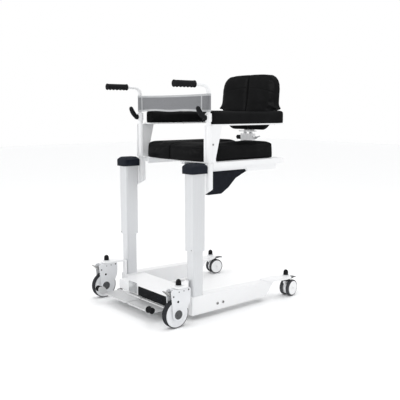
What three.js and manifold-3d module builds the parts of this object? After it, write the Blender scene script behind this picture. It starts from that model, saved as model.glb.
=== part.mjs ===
// Sit to stand lift: a wheeled transfer chair with two telescopic columns.
// Millimetres, +Z up. The footplates face -Y, the open end of the legs faces +Y,
// and +X is the seated person's left side. The origin is on the floor, midway
// between the frontmost and rearmost points.

import * as THREE from 'three';
import { mergeVertices } from 'three/addons/utils/BufferGeometryUtils.js';
import Module from 'manifold-3d';

const wasm = await Module();
wasm.setup();

// ---- Driving dimensions --------------------------------------------------
// Working frame: x = 0 is the mirror plane, y = 0 runs through both column axes.
const FRAME_SHIFT_Y = -223.9;  // moves the working frame's y = 0 to the part's own frame
const GAP = 0.3;               // clearance between touching pieces
const SHEET = 3;               // wall of hollow sections

const COLUMN = { x: 279, lower: [50, 64], upper: [66, 78], lowerTop: 490, upperBottom: 336, upperTop: 704 };
const LEG = { inner: 250, outer: 304, front: -38, bottom: 26, top: 117, heel: 463, rear: 520, rearTop: 101 };
const RISER = { front: -45.5, rear: -39.5, outer: 279 };
const BEAM = { front: -107, rear: 70, bottom: 62, top: 110, halfWidth: 222 };
const FOOT = { inner: 3, outer: 210, front: -211, pivotY: -118, pivotZ: 52, barrel: 8 };

const FRONT_STEM = { x: 314, y: -128 };
const FRONT_WHEEL = { radius: 66, rim: 59.5, halfWidth: 17, trail: 20, armBottom: 187, armTop: 195 };
const REAR_STEM = { x: 310, y: 611 };
const REAR_WHEEL = { radius: 44, inner: 6.5, outer: 25, trail: 27 };
const REAR_PLATE = { bottom: 99, top: 107, boss: 114 };
const REAR_SWIVEL = { left: THREE.MathUtils.degToRad(8), right: THREE.MathUtils.degToRad(-10) };

const POST = { x: 280, y: 82, radius: 12.5, bore: 10, bottom: 615, top: 984 };
const HANDLE = { radius: 9.5, bottom: 760, top: 1116.5, tip: -110, bend: 46 };
const GRIP = { radius: 15.5, front: -124.5, rear: 0 };
const MESH = { bottom: 990, top: 1074, thickness: 2 };

const SEAT = { front: 86, bow: 26, rear: 580, half: 240, split: 2, plate: 744, base: 749, top: 830 };
const OPENING = { y: 370, halfX: 75, halfY: 115 };
const RAIL = { outer: 278, inner: 252, front: 112, rear: 634, bottom: 722, top: 748, end: 45 };
const GUIDE = { inner: 84, outer: 101, front: 240, rear: 560, bottom: 683 };
const ARM = { inner: 226, outer: 286, front: 112, rear: 611, bottom: 931, top: 994, rail: 924 };
const WING = { front: 57, bottom: 750, top: 925, sleeve: 17 };

const BACK = { bottom: 890, frontY: 584, lean: THREE.MathUtils.degToRad(6), thick: 42, height: 310 };
const SOCKET = { halfX: 43, front: 602, rear: 634, top: 868, tubeX: 22, tubeY: 618, tube: 9.5 };
const PAIL = { halfX: 82, front: 238, rear: 543, bottom: 559, rim: 692, wall: 3, flangeX: 96 };

// ---- Materials -------------------------------------------------------------
const material = (color, roughness, metalness) =>
  new THREE.MeshStandardMaterial({ color, roughness, metalness });

const WHITE_PAINT = material('#f1f2f4', 0.35, 0.1);
const ANODISED = material('#d9dbde', 0.38, 0.75);
const STEEL = material('#9b9c9b', 0.35, 0.9);
const BLACK_PLASTIC = material('#17191d', 0.45, 0);
const GREY_PLASTIC = material('#6f7276', 0.5, 0);
const RUBBER = material('#121314', 0.7, 0);
const TYRE_GREY = material('#3f4246', 0.65, 0);
const UPHOLSTERY = material('#151618', 0.55, 0);
const MESH_FABRIC = material('#8b8d91', 0.85, 0);

// ---- Solid helpers ---------------------------------------------------------
// Shares equal corners and drops the empty triangles that this leaves.
function weld(geometry) {
  const bare = geometry.clone();
  bare.deleteAttribute('normal');
  bare.deleteAttribute('uv');
  const merged = mergeVertices(bare, 1e-3);
  const index = merged.index.array;
  const kept = [];
  for (let i = 0; i < index.length; i += 3) {
    const [a, b, c] = [index[i], index[i + 1], index[i + 2]];
    if (a !== b && b !== c && c !== a) kept.push(a, b, c);
  }
  merged.setIndex(kept);
  return merged;
}

function reversed(geometry) {
  const index = Array.from(geometry.index.array);
  for (let i = 0; i < index.length; i += 3) {
    [index[i + 1], index[i + 2]] = [index[i + 2], index[i + 1]];
  }
  geometry.setIndex(index);
  geometry.computeVertexNormals();
  return geometry;
}

function volume(geometry) {
  const position = geometry.attributes.position;
  const corner = (k) => new THREE.Vector3().fromBufferAttribute(position, geometry.index.array[k]);
  let sum = 0;
  for (let i = 0; i < geometry.index.count; i += 3) {
    sum += corner(i).dot(corner(i + 1).cross(corner(i + 2))) / 6;
  }
  return sum;
}

function outward(geometry) {
  const welded = weld(geometry);
  if (volume(welded) < 0) return reversed(welded);
  welded.computeVertexNormals();
  return welded;
}

function mirrorX(geometry) {
  const flipped = weld(geometry);
  flipped.scale(-1, 1, 1);
  return reversed(flipped);
}

function toSolid(geometry) {
  const clean = outward(geometry);
  const vertProperties = new Float32Array(clean.attributes.position.array);
  const triVerts = new Uint32Array(clean.index.array);
  return new wasm.Manifold(new wasm.Mesh({ numProp: 3, vertProperties, triVerts }));
}

function toGeometry(solid) {
  const mesh = solid.getMesh();
  const geometry = new THREE.BufferGeometry();
  geometry.setAttribute('position', new THREE.BufferAttribute(mesh.vertProperties, 3));
  geometry.setIndex(new THREE.BufferAttribute(mesh.triVerts, 1));
  geometry.computeVertexNormals();
  return geometry;
}

function join(...geometries) {
  return toGeometry(geometries.map(toSolid).reduce((sum, next) => sum.add(next)));
}

function cut(base, ...tools) {
  return toGeometry(tools.map(toSolid).reduce((rest, tool) => rest.subtract(tool), toSolid(base)));
}

// ---- Shape helpers ---------------------------------------------------------
// A polygon from [x, y, corner radius] corners.
function polygon(corners) {
  const shape = new THREE.Shape();
  const at = (i) => new THREE.Vector2(...corners[(i + corners.length) % corners.length]);
  corners.forEach(([x, y, radius = 0], i) => {
    const enter = at(i).add(at(i - 1).sub(at(i)).setLength(radius));
    const leave = at(i).add(at(i + 1).sub(at(i)).setLength(radius));
    if (i === 0) shape.moveTo(enter.x, enter.y);
    else shape.lineTo(enter.x, enter.y);
    if (radius > 0) shape.quadraticCurveTo(x, y, leave.x, leave.y);
  });
  shape.closePath();
  return shape;
}

function rectangle(x0, y0, x1, y1, radius = 0) {
  return polygon([[x0, y0, radius], [x1, y0, radius], [x1, y1, radius], [x0, y1, radius]]);
}

function circle(x, y, radius) {
  return new THREE.Shape().absarc(x, y, radius, 0, 2 * Math.PI);
}

// Extrudes an outline. Along x it is read as (y, z), along y as (x, z), along z as (x, y).
function prism(shape, axis, from, to, curveSegments = 2, bevel = {}) {
  const geometry = new THREE.ExtrudeGeometry(shape, {
    depth: to - from, bevelEnabled: false, curveSegments, ...bevel,
  });
  const [X, Y, Z] = [new THREE.Vector3(1, 0, 0), new THREE.Vector3(0, 1, 0), new THREE.Vector3(0, 0, 1)];
  const bases = { x: [Y, Z, X], y: [X, Z, Y.clone().negate()], z: [X, Y, Z] };
  const starts = { x: [from, 0, 0], y: [0, to, 0], z: [0, 0, from] };
  geometry.applyMatrix4(new THREE.Matrix4().makeBasis(...bases[axis]));
  return geometry.translate(...starts[axis]);
}

// A block with all its edges along the outline rounded over, filling from..to.
function pillow(shape, axis, from, to, round, curveSegments = 4) {
  return prism(shape, axis, from + round, to - round, curveSegments, {
    bevelEnabled: true, bevelThickness: round, bevelSize: round, bevelOffset: -round, bevelSegments: 2,
  });
}

function block(x0, y0, z0, x1, y1, z1) {
  return prism(rectangle(x0, y0, x1, y1), 'z', z0, z1);
}

function rod(radius, axis, from, to, a, b, sides = 16) {
  return prism(circle(a, b, radius), axis, from, to, sides / 2);
}

// Revolves a (radius, height) profile about an axis through the origin.
function turned(profile, axis, sides = 24) {
  const points = profile.map(([radius, height]) => new THREE.Vector2(radius, height));
  const geometry = outward(new THREE.LatheGeometry(points, sides));
  if (axis === 'x') geometry.rotateZ(-Math.PI / 2);
  if (axis === 'z') geometry.rotateX(Math.PI / 2);
  return geometry;
}

// A path of straight runs joined by bends that start `bend` before each corner.
function bentPath(corners, bend) {
  const points = corners.map((corner) => new THREE.Vector3(...corner));
  const path = new THREE.CurvePath();
  let start = points[0];
  for (let i = 1; i < points.length - 1; i += 1) {
    const enter = points[i].clone().add(points[i - 1].clone().sub(points[i]).setLength(bend));
    const leave = points[i].clone().add(points[i + 1].clone().sub(points[i]).setLength(bend));
    path.add(new THREE.LineCurve3(start, enter));
    path.add(new THREE.QuadraticBezierCurve3(enter, points[i], leave));
    start = leave;
  }
  path.add(new THREE.LineCurve3(start, points[points.length - 1]));
  return path;
}

function pipe(path, radius, steps, sides = 12) {
  return outward(new THREE.ExtrudeGeometry(circle(0, 0, radius), {
    extrudePath: path, steps, curveSegments: sides / 2,
  }));
}

// A rounded rectangular section centred on a column axis, standing from z0 to z1.
function section([width, depth], radius, z0, z1) {
  const shape = rectangle(COLUMN.x - width / 2, -depth / 2, COLUMN.x + width / 2, depth / 2, radius);
  return prism(shape, 'z', z0, z1);
}

function hollowSection(size, radius, wall, z0, z1) {
  const inside = [size[0] - 2 * wall, size[1] - 2 * wall];
  return cut(section(size, radius, z0, z1), section(inside, radius - wall, z0 - 1, z1 + 1));
}

// ---- Scene graph -----------------------------------------------------------
const lift = new THREE.Group();
lift.position.y = FRAME_SHIFT_Y;

function add(name, geometry, look, parent = lift) {
  const mesh = new THREE.Mesh(geometry, look.clone());
  mesh.name = name;
  parent.add(mesh);
}

function addPair(name, geometry, look) {
  add(`left_${name}`, geometry, look);
  add(`right_${name}`, mirrorX(geometry), look);
}

// ---- Base ------------------------------------------------------------------
// Side leg: an inverted channel, the front caster arm and the rear caster plate.
function legGeometry() {
  const profile = (inset) => polygon([
    [LEG.front + inset, LEG.bottom - inset], [LEG.heel - inset, LEG.bottom - inset],
    [LEG.rear - inset, LEG.rearTop - 8 - inset], [LEG.rear - inset, LEG.rearTop - inset],
    [48, LEG.top - inset], [LEG.front + inset, LEG.top - inset],
  ]);
  const channel = cut(
    prism(profile(0), 'x', LEG.inner, LEG.outer),
    prism(profile(SHEET), 'x', LEG.inner + SHEET, LEG.outer - SHEET),
  );
  const riser = block(LEG.inner, RISER.front, LEG.bottom, RISER.outer, LEG.front + 1, FRONT_WHEEL.armTop);
  const clearRiser = block(LEG.inner - 1, RISER.rear, LEG.top + GAP, RISER.outer + 1, 0, 300);
  const { x, y } = FRONT_STEM;
  const arm = prism(polygon([
    [LEG.inner + 12, RISER.rear], [RISER.outer, RISER.rear], [x + 28, y + 36, 8],
    [x + 28, y - 27, 18], [x - 28, y - 27, 18], [x - 40, y + 30, 8],
  ]), 'z', FRONT_WHEEL.armBottom, FRONT_WHEEL.armTop);
  const heel = prism(polygon([
    [LEG.inner, 470], [LEG.outer, 470], [REAR_STEM.x + 27, 575, 20],
    [REAR_STEM.x + 27, 638, 22], [REAR_STEM.x - 27, 638, 22], [LEG.inner, 560, 10],
  ]), 'z', REAR_PLATE.bottom, REAR_PLATE.top);
  const boss = rod(20, 'z', REAR_PLATE.top - 2, REAR_PLATE.boss, REAR_STEM.x, REAR_STEM.y);
  return cut(
    join(channel, cut(riser, clearRiser), arm, heel, boss),
    rod(7, 'z', 150, 210, x, y), rod(7, 'z', 80, 120, REAR_STEM.x, REAR_STEM.y),
  );
}

// Cross beam: a folded housing, open below, with a slot in front for the battery.
function beamGeometry() {
  const plan = (inset) => {
    const [x, wide] = [BEAM.halfWidth - inset, LEG.inner - GAP - inset];
    const [front, step, rear] = [BEAM.front + inset, -45 + inset, BEAM.rear - inset];
    return polygon([
      [-x, front], [x, front], [x, step], [wide, step], [wide, rear],
      [-wide, rear], [-wide, step], [-x, step],
    ]);
  };
  return cut(
    prism(plan(0), 'z', BEAM.bottom, BEAM.top),
    prism(plan(SHEET), 'z', BEAM.bottom - 1, BEAM.top - SHEET),
    block(-41, BEAM.front - 5, BEAM.bottom + 3, 213, BEAM.front + 10, BEAM.top - SHEET - 0.5),
  );
}

function batteryGeometry() {
  const body = rectangle(-40, BEAM.bottom + 4, 212, BEAM.top - SHEET - 1.5, 5);
  const flange = rectangle(-42, BEAM.bottom + 0.5, 215, BEAM.top - 0.5, 4);
  return join(
    prism(body, 'y', BEAM.front - 2, -22),
    prism(flange, 'y', BEAM.front - 4, BEAM.front - GAP),
  );
}

// Hinge bar: one shaft carried by three lugs under the beam.
function hingeBarGeometry() {
  const lugs = [-213, 0, 213].map((x) => prism(polygon([
    [-90, BEAM.bottom - GAP], [-90, FOOT.pivotZ + 2], [FOOT.pivotY + 8, FOOT.pivotZ - 8, 3],
    [FOOT.pivotY - 8, FOOT.pivotZ - 8, 6], [FOOT.pivotY - 8, FOOT.pivotZ + 8, 6],
    [-108, BEAM.bottom - GAP],
  ]), 'x', x - 2, x + 2));
  return join(rod(5, 'x', -216, 216, FOOT.pivotY, FOOT.pivotZ, 16), ...lugs);
}

function stemCapGeometry(base, top, radius) {
  const dome = radius * 0.85;
  return turned([
    [0, base], [radius + 4, base], [radius + 4, base + 4], [radius, base + 5], [radius, top - dome],
    [radius * 0.94, top - dome * 0.6], [radius * 0.72, top - dome * 0.24],
    [radius * 0.36, top - dome * 0.05], [0, top],
  ], 'z', 16);
}

function buildBase() {
  addPair('leg', legGeometry(), WHITE_PAINT);
  add('cross_beam', beamGeometry(), WHITE_PAINT);
  add('battery', batteryGeometry(), BLACK_PLASTIC);
  add('control_box', block(-205, -40, BEAM.bottom + 4, -60, 55, BEAM.top - SHEET - 2), GREY_PLASTIC);
  const powerPanel = prism(rectangle(-126, 68, -57, 122, 3), 'y', BEAM.front - 5, BEAM.front - GAP);
  add('power_panel', powerPanel, STEEL);
  add('footplate_hinge_bar', hingeBarGeometry(), STEEL);
  addPair('lower_tube', hollowSection(COLUMN.lower, 11, SHEET, LEG.top + GAP, COLUMN.lowerTop), ANODISED);
  const cylinder = cut(
    rod(16, 'z', LEG.top + GAP, 480, COLUMN.x, 0),
    rod(9.5, 'z', LEG.top + 6, 481, COLUMN.x, 0, 16),
  );
  addPair('actuator_cylinder', cylinder, STEEL);
  const frontCap = stemCapGeometry(FRONT_WHEEL.armTop + GAP, 227, 13);
  addPair('front_stem_cap', frontCap.translate(FRONT_STEM.x, FRONT_STEM.y, 0), RUBBER);
  const rearCap = stemCapGeometry(REAR_PLATE.boss + GAP, 147, 12);
  addPair('rear_stem_cap', rearCap.translate(REAR_STEM.x, REAR_STEM.y, 0), RUBBER);
}

// ---- Footplates --------------------------------------------------------------
function footplateGeometry() {
  const top = FOOT.pivotZ + 4;
  const plate = prism(
    rectangle(FOOT.inner, FOOT.front, FOOT.outer, FOOT.pivotY - 2, 12), 'z', top - 6, top);
  const barrel = rod(FOOT.barrel, 'x', FOOT.inner, FOOT.outer, FOOT.pivotY, FOOT.pivotZ);
  const tab = prism(polygon([
    [-243, 66, 8], [-243, 92, 10], [-211, 92, 10], [-190, top, 2], [-190, top - 6], [-225, top - 6, 6],
  ]), 'x', FOOT.outer - 5, FOOT.outer);
  const pin = rod(5, 'x', FOOT.outer - 4, 232, -227, 77, 16);
  return cut(
    join(plate, barrel, tab, pin),
    rod(5.4, 'x', -1, FOOT.outer + 10, FOOT.pivotY, FOOT.pivotZ, 16),
  );
}

function buildFootplates() {
  addPair('footplate', footplateGeometry(), STEEL);
  const knob = turned([
    [0, 24], [5.3, 24], [5.3, 0], [16.5, 0], [16.5, 5], [13, 8],
    [12, 22], [15, 26], [15, 32], [10, 36], [0, 36],
  ], 'x', 18);
  addPair('foot_knob', knob.translate(FOOT.outer + GAP, -227, 77), RUBBER);
}

// ---- Casters -------------------------------------------------------------------
// Every caster piece is made about its stem axis, at floor height zero.
function frontForkGeometry() {
  const hub = [-FRONT_WHEEL.trail, FRONT_WHEEL.radius];
  const cheek = polygon([
    [-50, 184, 4], [-60, 176, 4], [-54, 140, 16], [hub[0] - 30, hub[1] + 18, 14],
    [hub[0] - 30, hub[1] - 12, 12], [hub[0] - 13, hub[1] - 30, 12], [hub[0] + 15, hub[1] - 30, 12],
    [hub[0] + 40, hub[1] - 4, 16], [54, 116, 24], [54, 184, 8],
  ]);
  const inside = FRONT_WHEEL.halfWidth + 1.5;
  const body = cut(
    prism(cheek, 'x', -inside - 4, inside + 4),
    block(-inside, -100, 20, inside, -38, 190),
    block(-inside, -100, 20, inside, 100, 171),
  );
  const axle = rod(6, 'x', -inside - 1, inside + 1, ...hub, 16);
  const caps = [-1, 1].map((side) => {
    const [near, far] = [inside + 3, inside + 7].map((x) => side * x).sort((a, b) => a - b);
    return rod(25, 'x', near, far, ...hub);
  });
  return join(body, axle, ...caps, rod(6, 'z', 183, 194, 0, 0, 16));
}

function frontPedalGeometry() {
  const outline = polygon([
    [-41, 150], [-39, 168, 3], [-60, 172, 4], [-80, 183], [-84, 180], [-66, 164, 6], [-50, 150, 4],
  ]);
  return prism(outline, 'x', -14, 14);
}

function frontRimGeometry() {
  const { halfWidth: half, rim } = FRONT_WHEEL;
  return turned([
    [6.4, -half], [14, -half], [16, -8], [46, -8], [51, -half + 2], [rim, -half + 2], [rim, half - 2],
    [51, half - 2], [46, 8], [16, 8], [14, half], [6.4, half], [6.4, -half],
  ], 'x');
}

function frontTyreGeometry() {
  const { radius, halfWidth: half, rim } = FRONT_WHEEL;
  return turned([
    [rim + GAP, -half + 2], [58, -half], [60.5, -half + 2], [radius, -half + 7],
    [radius, half - 7], [60.5, half - 2], [58, half], [rim + GAP, half - 2], [rim + GAP, -half + 2],
  ], 'x', 32);
}

function rearYokeGeometry() {
  const hub = [REAR_WHEEL.trail, REAR_WHEEL.radius];
  const web = polygon([
    [-16, 91], [-18, 74, 8], [hub[0] - 16, 48, 6], [hub[0] - 8, 30, 8],
    [hub[0] + 10, 31, 8], [hub[0] + 13, 60, 12], [20, 84, 6], [20, 91],
  ]);
  return join(
    prism(web, 'x', -5, 5), rod(22, 'z', 89.5, 98.5, 0, 0),
    rod(4.5, 'x', -26, 26, ...hub, 16), rod(6, 'z', 98, 110, 0, 0, 16),
  );
}

function rearPedalGeometry() {
  return prism(polygon([
    [23, 91], [23, 95], [40, 95.5, 4], [60, 98, 6], [79, 95.5], [78, 92], [60, 93.5, 6], [40, 91, 4],
  ]), 'x', -13, 13);
}

function rearWheelGeometry() {
  const { radius, inner, outer } = REAR_WHEEL;
  return turned([
    [4.9, inner], [radius - 4, inner], [radius, inner + 4], [radius, outer - 5], [radius - 3, outer - 1.5],
    [radius - 9, outer], [radius - 11, outer - 2.5], [12, outer - 2.5], [10, outer], [4.9, outer],
    [4.9, inner],
  ], 'x');
}

function casterPieces(isFront) {
  if (isFront) {
    const toHub = [0, -FRONT_WHEEL.trail, FRONT_WHEEL.radius];
    return {
      front_fork: [frontForkGeometry(), WHITE_PAINT],
      front_pedal: [frontPedalGeometry(), STEEL],
      front_rim: [frontRimGeometry().translate(...toHub), GREY_PLASTIC],
      front_tyre: [frontTyreGeometry().translate(...toHub), TYRE_GREY],
    };
  }
  const toHub = [0, REAR_WHEEL.trail, REAR_WHEEL.radius];
  return {
    rear_yoke: [rearYokeGeometry(), WHITE_PAINT],
    rear_pedal: [rearPedalGeometry(), STEEL],
    rear_outer_wheel: [rearWheelGeometry().translate(...toHub), TYRE_GREY],
    rear_inner_wheel: [mirrorX(rearWheelGeometry()).translate(...toHub), TYRE_GREY],
  };
}

function buildCaster(sideName, isFront) {
  const side = sideName === 'left' ? 1 : -1;
  const stem = isFront ? FRONT_STEM : REAR_STEM;
  const caster = new THREE.Group();
  caster.position.set(side * stem.x, stem.y, 0);
  caster.rotation.z = isFront ? 0 : REAR_SWIVEL[sideName];
  for (const [name, [geometry, look]] of Object.entries(casterPieces(isFront))) {
    add(`${sideName}_${name}`, side > 0 ? geometry : mirrorX(geometry), look, caster);
  }
  lift.add(caster);
}

// ---- Lifting carriages -----------------------------------------------------------
function columnCapGeometry() {
  const [halfX, halfY] = [COLUMN.upper[0] / 2 + 8, COLUMN.upper[1] / 2 + 11];
  const plan = rectangle(COLUMN.x - halfX, -halfY, COLUMN.x + halfX, halfY, 16);
  const whole = pillow(plan, 'z', COLUMN.upperTop - 20, 748.5, 7, 4);
  return cut(whole, block(150, -90, 650, 400, 90, COLUMN.upperTop + GAP));
}

// Bracket: flange on the column, upright plate, and the hollow hinge post with its clamp collar.
function postBracketGeometry() {
  const back = COLUMN.upper[1] / 2 + GAP;
  const plate = prism(polygon([
    [back, 598, 4], [56, 598, 4], [109, 620, 4], [109, 746, 3], [57, 746, 3], [57, 698], [back, 698, 4],
  ]), 'x', POST.x - 4, POST.x + 2);
  const flange = prism(rectangle(LEG.inner, 604, LEG.outer, 696, 6), 'y', back, back + 5);
  const post = rod(POST.radius, 'z', POST.bottom, POST.top, POST.x, POST.y);
  const collar = rod(16, 'z', 944, 982, POST.x, POST.y);
  const boss = prism(rectangle(POST.x - 10, 950, POST.x + 10, 974, 4), 'y', POST.y - 18, POST.y - 6);
  return cut(
    join(plate, flange, post, collar, boss),
    rod(POST.bore, 'z', 640, POST.top + 5, POST.x, POST.y),
  );
}

function leverGeometry() {
  const hub = rod(12, 'y', POST.y - 32, POST.y - 18 - GAP, POST.x, 962);
  const arm = pipe(new THREE.LineCurve3(
    new THREE.Vector3(POST.x, 56, 964), new THREE.Vector3(POST.x - 4, 20, 1009)), 8, 1, 12);
  const tip = new THREE.SphereGeometry(9, 10, 6).translate(POST.x - 4, 19, 1009);
  return join(hub, arm, tip);
}

function handleTubeGeometry() {
  const path = bentPath([
    [POST.x, POST.y, HANDLE.bottom], [POST.x, POST.y, HANDLE.top], [POST.x, HANDLE.tip, HANDLE.top],
  ], HANDLE.bend);
  return pipe(path, HANDLE.radius, 22);
}

function gripGeometry() {
  const outer = [
    [0, GRIP.rear], [GRIP.radius - 3, GRIP.rear], [GRIP.radius, GRIP.rear - 3],
    [GRIP.radius, GRIP.front + 5], [GRIP.radius - 4, GRIP.front], [0, GRIP.front],
  ];
  const body = turned(outer, 'y', 20).translate(POST.x, 0, HANDLE.top);
  const bore = rod(HANDLE.radius + GAP, 'y', HANDLE.tip - GAP, GRIP.rear + 5, POST.x, HANDLE.top, 16);
  return cut(body, bore);
}

// Mesh back panel: a flat sheet with a sleeve round each handle tube.
function meshPanelGeometry() {
  const sleeve = HANDLE.radius + GAP + MESH.thickness + 0.7;
  const front = POST.y - sleeve;
  const sheet = block(-POST.x, front, MESH.bottom, POST.x, front + MESH.thickness, MESH.top);
  const sides = [-POST.x, POST.x];
  return cut(
    join(sheet, ...sides.map((x) => rod(sleeve, 'z', MESH.bottom, MESH.top, x, POST.y))),
    ...sides.map((x) => rod(HANDLE.radius + 0.5, 'z', MESH.bottom - 1, MESH.top + 1, x, POST.y)),
  );
}

function buildCarriages() {
  const upper = hollowSection(COLUMN.upper, 14, SHEET - 0.4, COLUMN.upperBottom, COLUMN.upperTop);
  addPair('upper_tube', upper, ANODISED);
  addPair('column_cap', columnCapGeometry(), BLACK_PLASTIC);
  const actuatorRod = rod(8.5, 'z', 330, COLUMN.upperTop, COLUMN.x, 0, 16);
  addPair('actuator_rod', actuatorRod, STEEL);
  addPair('post_bracket', postBracketGeometry(), WHITE_PAINT);
  addPair('clamp_lever', leverGeometry(), BLACK_PLASTIC);
  addPair('handle_tube', handleTubeGeometry(), WHITE_PAINT);
  addPair('handle_grip', gripGeometry(), RUBBER);
  add('mesh_panel', meshPanelGeometry(), MESH_FABRIC);
}

// ---- Swinging seat halves ----------------------------------------------------------
function halfSeatOutline(outer, front, bow, rear, corner) {
  const shape = new THREE.Shape();
  shape.moveTo(SEAT.split, front - bow);
  shape.bezierCurveTo(outer * 0.5, front - bow, outer * 0.8, front - bow * 0.6, outer - 14, front);
  shape.quadraticCurveTo(outer, front + 6, outer, front + 34);
  shape.lineTo(outer, rear - corner);
  shape.quadraticCurveTo(outer, rear, outer - corner, rear);
  shape.lineTo(SEAT.split, rear);
  shape.lineTo(SEAT.split, OPENING.y + OPENING.halfY);
  shape.absellipse(SEAT.split, OPENING.y, OPENING.halfX, OPENING.halfY, Math.PI / 2, -Math.PI / 2, true);
  shape.closePath();
  return shape;
}

// Wing frame. railEnd is the x where its rear rail stops.
function wingFrameGeometry(railEnd) {
  const gusset = prism(polygon([
    [WING.front, WING.bottom, 4], [RAIL.front, WING.bottom], [RAIL.front, RAIL.bottom, 4],
    [150, RAIL.bottom, 4], [126, 760, 10], [168, WING.top, 2], [WING.front, WING.top, 4],
  ]), 'x', POST.x - 4, POST.x + 2);
  const sleeve = rod(WING.sleeve, 'z', WING.bottom, WING.top, POST.x, POST.y);
  const armPlan = rectangle(ARM.inner + 6, 106, ARM.outer - 4, ARM.rear - 4, 8);
  const armRail = prism(armPlan, 'z', ARM.rail, ARM.bottom - GAP);
  const rail = prism(polygon([
    [RAIL.inner, RAIL.front], [RAIL.outer, RAIL.front], [RAIL.outer, RAIL.rear, 45], [railEnd, RAIL.rear],
    [railEnd, SOCKET.front], [RAIL.inner, SOCKET.front, 22],
  ]), 'z', RAIL.bottom, RAIL.top);
  const skirt = prism(polygon([
    [RAIL.front + 10, RAIL.bottom + 1], [RAIL.front + 10, 712], [345, 712], [352, 694, 3], [556, 694, 3],
    [560, RAIL.bottom + 1],
  ]), 'x', 258, 272);
  const platePlan = halfSeatOutline(RAIL.inner + 2, SEAT.front + 14, 16, SEAT.rear, 10);
  const plate = prism(platePlan, 'z', SEAT.plate, SEAT.base);
  const ties = block(200, SEAT.rear - 20, SEAT.plate - 15, 225, RAIL.rear - 20, SEAT.plate + 1);
  const { inner, outer, front, rear, bottom } = GUIDE;
  const guideWeb = block(outer - 3, front, bottom, outer, rear, SEAT.plate + 1);
  const guideLip = block(inner, front, bottom, outer, rear, bottom + 4);
  return cut(
    join(gusset, sleeve, armRail, rail, skirt, plate, ties, guideWeb, guideLip),
    rod(POST.radius + 0.5, 'z', 690, 940, POST.x, POST.y),
  );
}

// Socket for the backrest's two tubes, standing on the left wing's rear rail.
function withSocket(frame) {
  const { halfX, front, rear, top, tubeX, tubeY, tube } = SOCKET;
  const body = block(-halfX, front, SEAT.plate, halfX, rear, top);
  const bolt = rod(9, 'x', halfX - 1, halfX + 18, tubeY, 847, 16);
  return cut(
    join(frame, body, bolt),
    ...[-tubeX, tubeX].map((x) => rod(tube + 0.4, 'z', 764, top + 5, x, tubeY, 16)),
  );
}

function cushionGeometry() {
  const outline = halfSeatOutline(SEAT.half, SEAT.front, SEAT.bow, SEAT.rear, 26);
  return pillow(outline, 'z', SEAT.base + GAP, SEAT.top, 9, 8);
}

function buildWings() {
  add('left_wing_frame', withSocket(wingFrameGeometry(-RAIL.end)), WHITE_PAINT);
  add('right_wing_frame', mirrorX(wingFrameGeometry(RAIL.end + 1)), WHITE_PAINT);
  addPair('seat_cushion', cushionGeometry(), UPHOLSTERY);
  const pad = pillow(rectangle(ARM.inner, ARM.front, ARM.outer, ARM.rear, 14), 'z', ARM.bottom, ARM.top, 9);
  addPair('armrest_pad', pad, UPHOLSTERY);
}

// ---- Backrest ------------------------------------------------------------------------
// Outline as (x, height up the leaning face), drawn for the left half and mirrored.
function backrestOutline() {
  const lip = 112;
  const half = new THREE.Path();
  half.moveTo(0, 0);
  half.lineTo(112, 0);
  half.bezierCurveTo(140, 4, 158, 26, 174, 50);
  half.bezierCurveTo(190, 74, 200, 90, 203, lip);
  half.lineTo(238, lip);
  half.lineTo(238, lip + 9);
  half.bezierCurveTo(222, lip + 12, 208, lip + 22, 207, lip + 46);
  half.bezierCurveTo(207, lip + 76, 213, 204, 213, 222);
  half.bezierCurveTo(213, 270, 186, BACK.height - 4, 142, BACK.height - 4);
  half.bezierCurveTo(105, BACK.height, 40, BACK.height, 0, BACK.height);
  const left = half.getPoints(4);
  const right = left.slice(1, -1).reverse().map((point) => new THREE.Vector2(-point.x, point.y));
  return new THREE.Shape([...left, ...right]);
}

function leaned(geometry) {
  return geometry.rotateX(-BACK.lean).translate(0, BACK.frontY, BACK.bottom);
}

function backrestFrameGeometry() {
  const { tubeX, tubeY, tube } = SOCKET;
  const tubes = [-tubeX, tubeX].map((x) => rod(tube, 'z', 768, BACK.bottom - 8, x, tubeY));
  const foot = block(-52, BACK.frontY + 12, BACK.bottom - 11, 52, SOCKET.rear, BACK.bottom - 5);
  const strap = leaned(prism(polygon([
    [-40, -8], [40, -8], [40, 60, 20], [70, 110, 20],
    [70, 215, 20], [-70, 215, 20], [-70, 110, 20], [-40, 60, 20],
  ]), 'y', BACK.thick + 0.6, BACK.thick + 5.6));
  return join(...tubes, foot, strap);
}

function buildBackrest() {
  const pad = pillow(backrestOutline(), 'y', 0, BACK.thick, 3);
  add('backrest_pad', leaned(outward(pad)), UPHOLSTERY);
  add('backrest_frame', backrestFrameGeometry(), WHITE_PAINT);
  const knob = turned([[0, 0], [4, 0], [4, 7], [13, 7], [13, 40], [10, 43], [0, 43]], 'x', 20);
  add('backrest_knob', mirrorX(knob).translate(-SOCKET.halfX - GAP, SOCKET.tubeY, 847), BLACK_PLASTIC);
}

// ---- Commode pail -----------------------------------------------------------------------
// Side profile as (y, z): steep in front, sweeping up to the rear.
function pailProfile(inset, top) {
  const shape = new THREE.Shape();
  const [front, floor, rear] = [PAIL.front + inset, PAIL.bottom + inset, PAIL.rear - inset];
  shape.moveTo(front, top);
  shape.lineTo(front, floor + 16);
  shape.quadraticCurveTo(front, floor, front + 16, floor);
  shape.lineTo(345 - inset * 0.5, floor);
  shape.bezierCurveTo(390 - inset, floor + 6, 400 - inset, 605 + inset, 448 - inset, 635 + inset);
  shape.quadraticCurveTo(500, 658 + inset, rear, 674 + inset);
  shape.lineTo(rear, top);
  shape.closePath();
  return shape;
}

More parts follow.
